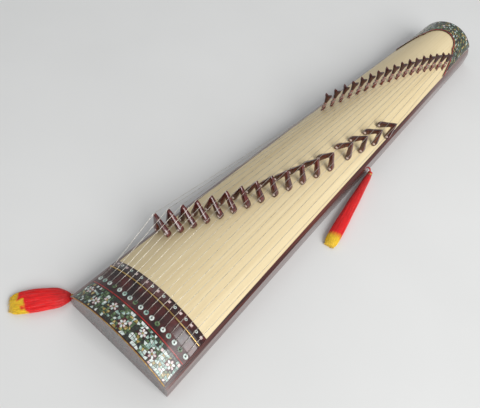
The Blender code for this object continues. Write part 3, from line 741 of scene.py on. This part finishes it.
def inlay(name, tiles, rise, materials, body):
    """Thin raised tiles on the arch. A tile is an outline of (run, y) and a material's number."""
    points = []
    faces = []
    chosen = []
    for outline, number in tiles:
        count = len(outline)
        start = len(points)
        points += [on_top(run, y, rise(run) + INLAY_RISE) for run, y in outline]
        points += [on_top(run, y, rise(run) - INLAY_SINK) for run, y in outline]
        area = sum(
            outline[index - 1][0] * outline[index][1] - outline[index][0] * outline[index - 1][1]
            for index in range(count)
        )
        order = list(range(count)) if area > 0 else list(range(count))[::-1]
        faces.append(tuple(start + index for index in order))
        faces.append(tuple(start + count + index for index in reversed(order)))
        for first, second in zip(order, order[1:] + order[:1]):
            faces.append((start + first, start + count + first, start + count + second, start + second))
        chosen += [number] * (count + 2)
    return link_piece(name, mesh_data(name, points, faces, materials, chosen), body)


def ring_tiles(run, y, inner, outer, sides, number):
    """Flat ring as a row of small tiles."""
    tiles = []
    for side in range(sides):
        first = 2 * pi * side / sides
        second = 2 * pi * (side + 1) / sides
        outline = [
            (run + radius * cos(angle), y + radius * sin(angle))
            for radius, angle in ((inner, first), (outer, first), (outer, second), (inner, second))
        ]
        tiles.append((outline, number))
    return tiles


def petal_outline(run, y, length, width, turn, start=0.0, steps=10):
    """Leaf shape that begins at a distance from a middle and points outward."""
    outline = []
    for step in range(steps):
        t = 2 * pi * step / steps
        out = start + length * (1 - cos(t)) / 2
        aside = width / 2 * sin(t) * (0.75 + 0.25 * (1 - cos(t)) / 2)
        outline.append((run + out * cos(turn) - aside * sin(turn), y + out * sin(turn) + aside * cos(turn)))
    return outline


def middle(outline):
    return (
        sum(point[0] for point in outline) / len(outline),
        sum(point[1] for point in outline) / len(outline),
    )


def shrink(outline, share):
    run, y = middle(outline)
    return [(run + (point[0] - run) * share, y + (point[1] - y) * share) for point in outline]


def flower(tiles, draw, run, y, size):
    """Six petals in two tones round a yellow eye."""
    turn = draw.uniform(0, pi / 3)
    for petal in range(PETALS):
        angle = turn + 2 * pi * petal / PETALS
        tone = WHITE if petal % 2 else PINK
        outline = petal_outline(run, y, size * PETAL_LENGTH, size * PETAL_WIDTH, angle, size * PETAL_START)
        tiles.append((outline, tone))
    angles = [2 * pi * side / EYE_SIDES for side in range(EYE_SIDES)]
    radius = size * EYE_RADIUS
    tiles.append(([(run + radius * cos(angle), y + radius * sin(angle)) for angle in angles], YELLOW))


def panel_grid(draw):
    """Corners of the head panel's tesserae, moved a little from a regular grid."""
    grid = []
    for column in range(PANEL_COLUMNS + 1):
        line = []
        for row in range(PANEL_ROWS + 1):
            share = 2 * column / PANEL_COLUMNS - 1
            part = row / PANEL_ROWS
            if 0 < column < PANEL_COLUMNS:
                share += draw.uniform(-PANEL_WANDER, PANEL_WANDER) * 2 / PANEL_COLUMNS
            if 0 < row < PANEL_ROWS:
                part += draw.uniform(-PANEL_WANDER, PANEL_WANDER) / PANEL_ROWS
            run = PANEL_START + (PANEL_END - PANEL_START) * part
            line.append((run, share_y(run, PANEL_REACH * share)))
        grid.append(line)
    return grid


def panel_odds(y):
    """Odds of the six tones: painted shade at the left, where dark and green tiles are likelier, and a
    painted highlight at the right, where pale tiles are likelier.
    """
    # pale runs from 0 at the left edge to 1 at the right: how far painted highlight takes over from painted
    # shade
    pale = 0.5 - 0.5 * y / half_width(0.0)
    return 34 - 20 * pale, 6 + 26 * pale, 2 + 34 * pale, 14 - 8 * pale, 44 - 34 * pale, 2 + 4 * pale


def panel_tiles(draw):
    """Shell mosaic of the head panel: broken tesserae round a row of flowers."""
    centres = [
        (FLOWER_RUN + FLOWER_SHIFT * (-1) ** index, share_y(FLOWER_RUN, FLOWER_REACH * share))
        for index, share in enumerate(spread(FLOWER_COUNT - 1))
    ]
    grid = panel_grid(draw)
    tiles = []
    for left, right in zip(grid, grid[1:]):
        for row in range(PANEL_ROWS):
            outline = [left[row], right[row], right[row + 1], left[row + 1]]
            run, y = middle(outline)
            near = min(sqrt((run - a) ** 2 + (y - b) ** 2) for a, b in centres)
            # tones lean dark at the left and pale at the right: painted shade and painted highlight
            tone = draw.choices(TONES, panel_odds(y))[0]
            if near >= FLOWER_ROOM:
                tiles.append((shrink(outline, draw.uniform(*PANEL_FILL)), tone))
    for run, y in centres:
        flower(tiles, draw, run, y, FLOWER_SIZE)
    return tiles


def cap_tiles(draw):
    """Darker mosaic of the tail cap, which follows its bracket-shaped edge."""
    edges = spread(CAP_COLUMNS, CAP_MOSAIC_REACH)
    tiles = []
    for low, high in zip(edges, edges[1:]):
        rows = max(CAP_LEAST_ROWS, int(cap_reach((low + high) / 2) / CAP_TILE_LENGTH))
        for row in range(rows):
            outline = []
            for share, part in ((low, row), (high, row), (high, row + 1), (low, row + 1)):
                length = cap_reach(share) - CAP_MOSAIC_MARGIN
                step = (part + draw.uniform(-CAP_WANDER, CAP_WANDER)) / rows
                run = LENGTH - cap_reach(share) + CAP_MOSAIC_START + length * step
                aside = draw.uniform(-CAP_SIDE_WANDER, CAP_SIDE_WANDER)
                outline.append((run, share_y(run, share + aside)))
            tone = draw.choices(TONES, CAP_ODDS)[0]
            tiles.append((shrink(outline, draw.uniform(*CAP_FILL)), tone))
    return tiles


def cap_line_tiles():
    """Line along the cap's inner edge."""
    line = []
    for share in spread(CAP_LINE_STEPS, CAP_LINE_REACH):
        run = LENGTH - cap_reach(share)
        line.append((run, share_y(run, share)))
    rows = []
    for index, (run, y) in enumerate(line):
        before = line[max(0, index - 1)]
        after = line[min(CAP_LINE_STEPS, index + 1)]
        ahead = Vector((after[0] - before[0], after[1] - before[1])).normalized()
        inward = Vector((ahead.y, -ahead.x))
        rows.append([(run + inward.x * edge, y + inward.y * edge) for edge in CAP_LINE_EDGES])
    return [([first[0], first[1], second[1], second[0]], 0) for first, second in zip(rows, rows[1:])]


def strip_tiles(low, high):
    """Narrow line across the arch between two runs."""
    edges = spread(STRIP_STEPS, STRIP_REACH)
    tiles = []
    for first, second in zip(edges, edges[1:]):
        outline = [(low, share_y(low, first)), (high, share_y(high, first))]
        outline += [(high, share_y(high, second)), (low, share_y(low, second))]
        tiles.append((outline, 0))
    return tiles


def hole_tiles():
    """A pearl ring round each string hole."""
    tiles = []
    for index in range(STRING_COUNT):
        tone = (WHITE, CYAN, WHITE, GREEN)[index % 4]
        tiles += ring_tiles(STRING_HOLE_RUN, hole_y(index), *HOLE_RING_RADII, HOLE_RING_SIDES, tone)
    return tiles


def band_tiles():
    """Squares and rings by turns along the band behind the ridge."""
    half = BAND_SQUARE_HALF
    tiles = []
    for index, share in enumerate(spread(STRING_COUNT - 1)):
        run, y = BAND_RUN, share_y(BAND_RUN, BAND_REACH * share)
        if index % 2:
            tiles += ring_tiles(run, y, *BAND_RING_RADII, BAND_RING_SIDES, WHITE)
        else:
            corners = [(-half, -half), (half, -half), (half, half), (-half, half)]
            tiles.append(([(run + ahead, y + aside) for ahead, aside in corners], PINK))
    return tiles


def make_inlays():
    draw = random.Random(INLAY_SEED)
    pearls = MATERIALS["pearls"]
    red_line = [MATERIALS["red_line"]]
    inlay("head_mosaic", panel_tiles(draw), head_rise, pearls, "body")
    inlay("head_red_line", strip_tiles(*RED_LINE_RUNS), head_rise, red_line, "body")
    edge = [on_top(GOLD_EDGE_RUN, share_y(0.0, share), 0.0) for share in spread(GOLD_EDGE_STEPS)]
    tube("head_gold_edge", edge, GOLD_EDGE_RADIUS, GOLD_EDGE_SIDES, MATERIALS["gold"])
    inlay("string_hole_rings", hole_tiles(), head_rise, pearls, "body")
    inlay("band_inlay", band_tiles(), head_rise, pearls, "body")
    inlay("cap_mosaic", cap_tiles(draw), cap_rise, pearls, "body")
    inlay("cap_red_line", cap_line_tiles(), cap_rise, red_line, "body")


def make_rod():
    rise = RIDGE_RISE - ROD_SINK + GAP + ROD_RADIUS
    points = [on_top(ROD_RUN, share_y(ROD_RUN, share), rise) for share in spread(ROD_STEPS)]
    rod = tube("brass_rod", points, ROD_RADIUS, ROD_SIDES, MATERIALS["brass"])
    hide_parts("nut_rod")


# Bridges and pegs

def pearl_highlight_button(points, faces, face, side):
    """Button on one face of one leg: face and side are -1 or 1. It is partly pearl inlay and partly a
    painted highlight on the leg's glossy bulge.
    """
    start = len(points)
    for out, radius in PEARL_ROWS:
        for step in range(PEARL_SIDES):
            angle = 2 * pi * step / PEARL_SIDES
            y = side * PEARL_ASIDE + radius * cos(angle)
            points.append((face * out, y, PEARL_HEIGHT + radius * sin(angle)))
    faces += ring_faces(len(PEARL_ROWS), PEARL_SIDES, start)
    top = start + (len(PEARL_ROWS) - 1) * PEARL_SIDES
    for first in (top, start):
        faces.append(tuple(range(first, first + PEARL_SIDES)))


def make_bridges(group):
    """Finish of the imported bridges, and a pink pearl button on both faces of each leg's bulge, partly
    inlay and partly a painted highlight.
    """
    points = []
    faces = []
    for face in (-1, 1):
        for side in (-1, 1):
            pearl_highlight_button(points, faces, face, side)
    # Pink pearl stands in partly for the shine on each leg's bulge: painted highlight
    material = MATERIALS["pearls"][PINK]
    data = mesh_data("bridge_highlight_dots", points, faces, [material], smooth_angle=radians(60))
    for index in range(STRING_COUNT):
        name = f"bridge_{index + 1:02d}"
        dress_node(name, MATERIALS["rosewood"], group, BRIDGE_EDGE)
        dots = add_object(name + "_pearl_highlight", data)
        dots.matrix_world = bridge_frame(index)
        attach(dots, name)


PEG_ROWS = (
    (-PEG_BELOW, 0.75 * PEG_SHAFT_RADIUS, 0.75 * PEG_SHAFT_RADIUS),
    (0.0050, PEG_SHAFT_RADIUS, PEG_SHAFT_RADIUS),
    (0.0080, PEG_BULB_RADIUS, PEG_BULB_RADIUS),
    (0.0110, PEG_BULB_RADIUS, PEG_BULB_RADIUS),
    (0.0145, PEG_WAIST_RADIUS, PEG_WAIST_RADIUS),
    (0.0215, PEG_WAIST_RADIUS, PEG_WAIST_RADIUS),
    (0.0270, 0.55 * PEG_HEAD_HALF_WIDTH, 1.15 * PEG_HEAD_HALF_DEPTH),
    (0.0340, 0.70 * PEG_HEAD_HALF_WIDTH, PEG_HEAD_HALF_DEPTH),
    (0.0390, 0.95 * PEG_HEAD_HALF_WIDTH, PEG_HEAD_HALF_DEPTH),
    (PEG_HEIGHT - PEG_NOTCH, PEG_HEAD_HALF_WIDTH, 0.80 * PEG_HEAD_HALF_DEPTH),
)


def peg_data():
    """Turned peg with a flat two-pronged head, red below, dark above, and pale at its waist, partly the
    wound string's colour and partly a painted highlight.
    """
    sides = PEG_SIDES
    rows = curve_through([Vector(row) for row in PEG_ROWS], PEG_STEPS)
    points = []
    for height, wide, deep in rows:
        for side in range(sides):
            angle = 2 * pi * side / sides
            points.append(Vector((wide * cos(angle), deep * sin(angle), height)))
    last = (len(rows) - 1) * sides
    for point in points[last:]:
        point.z += PEG_NOTCH * (abs(point.x) / PEG_HEAD_HALF_WIDTH) ** PEG_NOTCH_CURVE
    faces = [tuple(range(sides))[::-1]] + ring_faces(len(rows), sides)
    chosen = [0]
    for low, high in zip(rows, rows[1:]):
        height = (low[0] + high[0]) / 2
        # the waist's pale finish is partly a painted highlight
        chosen += [0 if height < PEG_WAIST_BOTTOM else 1 if height < PEG_WAIST_TOP else 2] * sides
    for side in range(sides // 2):
        opposite = sides - side
        quad = [side, side + 1, opposite - 1, opposite % sides]
        faces.append(tuple(dict.fromkeys(last + index for index in quad)))
        chosen.append(2)
    parts = [MATERIALS["peg_red"], MATERIALS["peg_pale"], MATERIALS["peg_dark"]]
    return mesh_data("peg_form", points, faces, parts, chosen, radians(40))


def make_pegs():
    """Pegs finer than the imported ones, each turned a little differently."""
    data = peg_data()
    for index in range(STRING_COUNT):
        node = f"peg_{index + 1:02d}"
        peg = add_object(node + "_turned", data)
        turn = PEG_TURN + PEG_TURN_SPREAD * sin(PEG_TURN_STEP * index)
        peg.matrix_world = peg_frame(index) @ Matrix.Rotation(turn, 4, "Z")
        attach(peg, node)
        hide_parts(node)


# Strings

def winding_path(index, half):
    """Turns of a string down its peg's waist, and its end, which goes into the peg."""
    peg = peg_frame(index)
    radius = PEG_WAIST_RADIUS + GAP + half
    path = []
    for step in range(int(WINDING_TURNS * WINDING_STEPS) + 1):
        angle = -pi / 2 + 2 * pi * step / WINDING_STEPS
        height = WINDING_TOP - WINDING_PITCH * step / WINDING_STEPS
        path.append(peg @ Vector((radius * cos(angle), radius * sin(angle), height)))
    inward = radius - STRING_DIAMETER
    path.append(peg @ Vector((inward * cos(angle), inward * sin(angle), height)))
    return path


def make_strings():
    """Each string in four pieces; the two that meet on the bridge are baked in place and ride on no body.
    """
    half = STRING_DIAMETER / 2
    rod_rise = RIDGE_RISE - ROD_SINK + GAP + 2 * ROD_RADIUS + GAP + half
    steps = [step / STRING_STEPS for step in range(STRING_STEPS + 1)]
    for index in range(STRING_COUNT):
        node = f"string_{index + 1:02d}"
        bridge = f"bridge_{index + 1:02d}"
        y = hole_y(index)
        surface = on_top(STRING_HOLE_RUN, y)
        knot = surface - Vector((0, 0, STRING_TAIL))
        lifted = surface + Vector((STRING_LEAN, 0, STRING_LIFT))
        over_rod = on_top(ROD_RUN, y + string_slant(index) * (ROD_RUN - STRING_HOLE_RUN), rod_rise)
        apex = bridge_frame(index) @ Vector((0, 0, BRIDGE_HEIGHT + GAP + half))
        wound = winding_path(index, half)
        pieces = {
            "_tail": ([knot, surface, lifted, over_rod], None),
            "_front": ([over_rod.lerp(apex, t) for t in steps], ("body", bridge)),
            "_back": ([apex.lerp(wound[0], t) for t in steps], (bridge, "body")),
            "_winding": (wound, None),
        }
        for ending, (line, joined) in pieces.items():
            body = None if joined else "body"
            piece = tube(node + ending, line, half, STRING_SIDES, MATERIALS["steel"], body)
            if joined:
                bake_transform(piece)
            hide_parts(node)


# Tassels

def tassel_point(station):
    run, y, wide, high = station
    return place(run, y, TASSEL_REST + high)


def ring_point(rings, level, angle, share):
    """Point on one of a tassel's rings at an angle, at a share of the ring's size."""
    run, y, wide, high = rings[level]
    before = rings[max(0, level - 1)]
    after = rings[min(len(rings) - 1, level + 1)]
    ahead = Vector((after[0] - before[0], after[1] - before[1], 0)).normalized()
    across = Vector((-ahead.y, ahead.x, 0))
    up = Vector((0, 0, high * share * sin(angle)))
    return place(run, y, TASSEL_REST + high) + across * wide * share * cos(angle) + up


def make_skirt(name, rings, thread):
    """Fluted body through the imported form's own rings."""
    rows = len(rings)
    points = []
    for level in range(rows):
        share = level / (rows - 1)
        depth = FLUTE_DEPTH * min(1.0, share * FLUTE_START)
        for step in range(SKIRT_SIDES):
            angle = 2 * pi * step / SKIRT_SIDES
            wave = sin(SKIRT_FLUTES * angle + 2.2 * sin(5 * share + 3 * angle))
            points.append(ring_point(rings, level, angle, 1 - depth * (0.5 + 0.5 * wave)))
    data = mesh_data(name, points, closed_faces(rows, SKIRT_SIDES), [thread], smooth_angle=radians(60))
    return link_piece(name, data, "body")


def make_threads(name, rings, ahead, thread, draw):
    """Loose threads over the skirt, which end in a fringe."""
    rows = len(rings)
    points = []
    faces = []
    for strand in range(THREAD_COUNT):
        angle = 2 * pi * strand / THREAD_COUNT + draw.uniform(-THREAD_SCATTER, THREAD_SCATTER)
        drift = draw.uniform(-THREAD_DRIFT, THREAD_DRIFT)
        last = rows - 1 - draw.randrange(0, THREAD_SHORTER)
        path = []
        for level in range(THREAD_FIRST, last + 1, THREAD_STEP):
            size = THREAD_SIZE + THREAD_WAVE * sin(level * 0.4 + strand)
            path.append(ring_point(rings, level, angle + drift * level / rows, size))
        drop = Vector((0, 0, -FRINGE_DROP * (path[-1].z - FRINGE_FLOOR)))
        path.append(path[-1] + ahead * draw.uniform(*FRINGE_REACH) + drop)
        low = len(points)
        radii = [THREAD_RADIUS] * (len(path) - 1) + [THREAD_TIP]
        made = tube_data("strand", path, radii, THREAD_SIDES, thread)
        points += [vertex.co.copy() for vertex in made.vertices]
        faces += [tuple(low + index for index in face.vertices) for face in made.polygons]
        bpy.data.meshes.remove(made)
    data = mesh_data(name, points, faces, [thread], smooth_angle=radians(60))
    return link_piece(name, data, "body")


def make_binding(name, middles):
    """Gold turns round the neck, lifted clear of the ground."""
    ahead = (middles[2] - middles[0]).normalized()
    across = Vector((-ahead.y, ahead.x, 0)).normalized()
    other = ahead.cross(across)
    turns = []
    for step in range(BINDING_TURNS * BINDING_STEPS + 1):
        angle = 2 * pi * step / BINDING_STEPS
        along_neck = ahead * (BINDING_PITCH * (step / BINDING_STEPS - BINDING_TURNS / 2))
        turns.append(middles[1] + along_neck + BINDING_RADIUS * (across * cos(angle) + other * sin(angle)))
    lowest = min(point.z for point in turns) - BINDING_THREAD
    if lowest < 0.0:
        turns = [point + Vector((0, 0, -lowest)) for point in turns]
    return tube(name, turns, BINDING_THREAD, BINDING_SIDES, MATERIALS["gold"])


def make_tassel(side_name, side, cord_run, stations, stops, patches, seed):
    """Cord out of the rail that runs on as the core of a skirt of silk threads."""
    rail = side * half_width(cord_run)
    middles = [tassel_point(station) for station in stations]
    start = middles[1]
    ahead = middles[-1] - start
    ahead.z = 0.0
    reach = ahead.length
    ahead.normalize()
    thread = silk(side_name + "_silk", tuple(start), (ahead.x, ahead.y), reach, stops, patches)
    route = [
        place(cord_run, rail - side * CORD_START, TASSEL_CORD_HEIGHT),
        place(cord_run, rail, TASSEL_CORD_HEIGHT),
        place(cord_run, rail + side * CORD_LEVEL, TASSEL_CORD_HEIGHT - CORD_DROP),
    ] + middles[:-2]
    line = curve_through(route, RING_STEPS)
    rings = curve_through([Vector(station) for station in stations], RING_STEPS)
    cord = tube(side_name + "_cord", line, TASSEL_CORD_RADIUS, CORD_SIDES, thread)
    skirt = make_skirt(side_name + "_skirt", rings, thread)
    fringe = make_threads(side_name + "_threads", rings, ahead, thread, random.Random(seed))
    binding = make_binding(side_name + "_binding", middles)
    for piece in (cord, skirt, fringe, binding):
        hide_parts(side_name)


# Studio

def area_light(name, location, size, power):
    """Square lamp that shines at the origin."""
    data = bpy.data.lights.new(name, "AREA")
    data.shape = "SQUARE"
    data.size = size
    data.energy = power
    lamp = add_object(name, data)
    lamp.location = location
    lamp.rotation_euler = (-Vector(location)).to_track_quat("-Z", "Y").to_euler()


def make_studio():
    half = FLOOR_HALF
    corners = [(-half, -half, 0), (half, -half, 0), (half, half, 0), (-half, half, 0)]
    floor = link_piece("floor", mesh_data("floor", corners, [(0, 1, 2, 3)], [MATERIALS["floor"]]), None)
    floor.location.z = -FLOOR_DROP
    area_light("key_light", KEY_PLACE, KEY_SIZE, KEY_POWER)
    area_light("fill_light", FILL_PLACE, FILL_SIZE, FILL_POWER)
    world = bpy.data.worlds.new("studio")
    world.use_nodes = True
    sky = world.node_tree.nodes["Background"].inputs
    sky["Color"].default_value = SKY_COLOUR
    sky["Strength"].default_value = SKY_STRENGTH
    bpy.context.scene.world = world
    bpy.context.scene.view_settings.view_transform = "Standard"


def main():
    make_camera()
    make_materials()
    red = srgb(244, 14, 18)
    # Darker red at each tassel's start, next to the body: painted shade
    painted_shade_red = srgb(216, 8, 12)
    yellow = srgb(250, 206, 36)
    make_tassel(
        "tassel_left", 1, LEFT_TASSEL_RUN, LEFT_TASSEL,
        [(0.0, painted_shade_red), (0.40, red), (0.84, red), (0.92, yellow), (1.0, yellow)], 0.9, 3,
    )
    make_tassel(
        "tassel_right", -1, RIGHT_TASSEL_RUN, RIGHT_TASSEL,
        [(0.0, painted_shade_red), (0.45, red), (0.86, red), (0.92, yellow), (1.0, yellow)], 0.10, 4,
    )
    group = smoothing_group(radians(30))
    dress_node("soundboard", MATERIALS["board"], group)
    dress_node("left_rail", MATERIALS["rail"], group)
    dress_node("right_rail", MATERIALS["rail"], group)
    dress_node("bottom_board", MATERIALS["bottom"], group)
    dress_node("head_block", MATERIALS["lacquer"], smoothing_group(radians(12)))
    dress_node("tail_cap", MATERIALS["cap"], group)
    make_bridges(group)
    make_pegs()
    make_rod()
    make_strings()
    make_inlays()
    make_studio()


main()
bpy.context.view_layer.update()
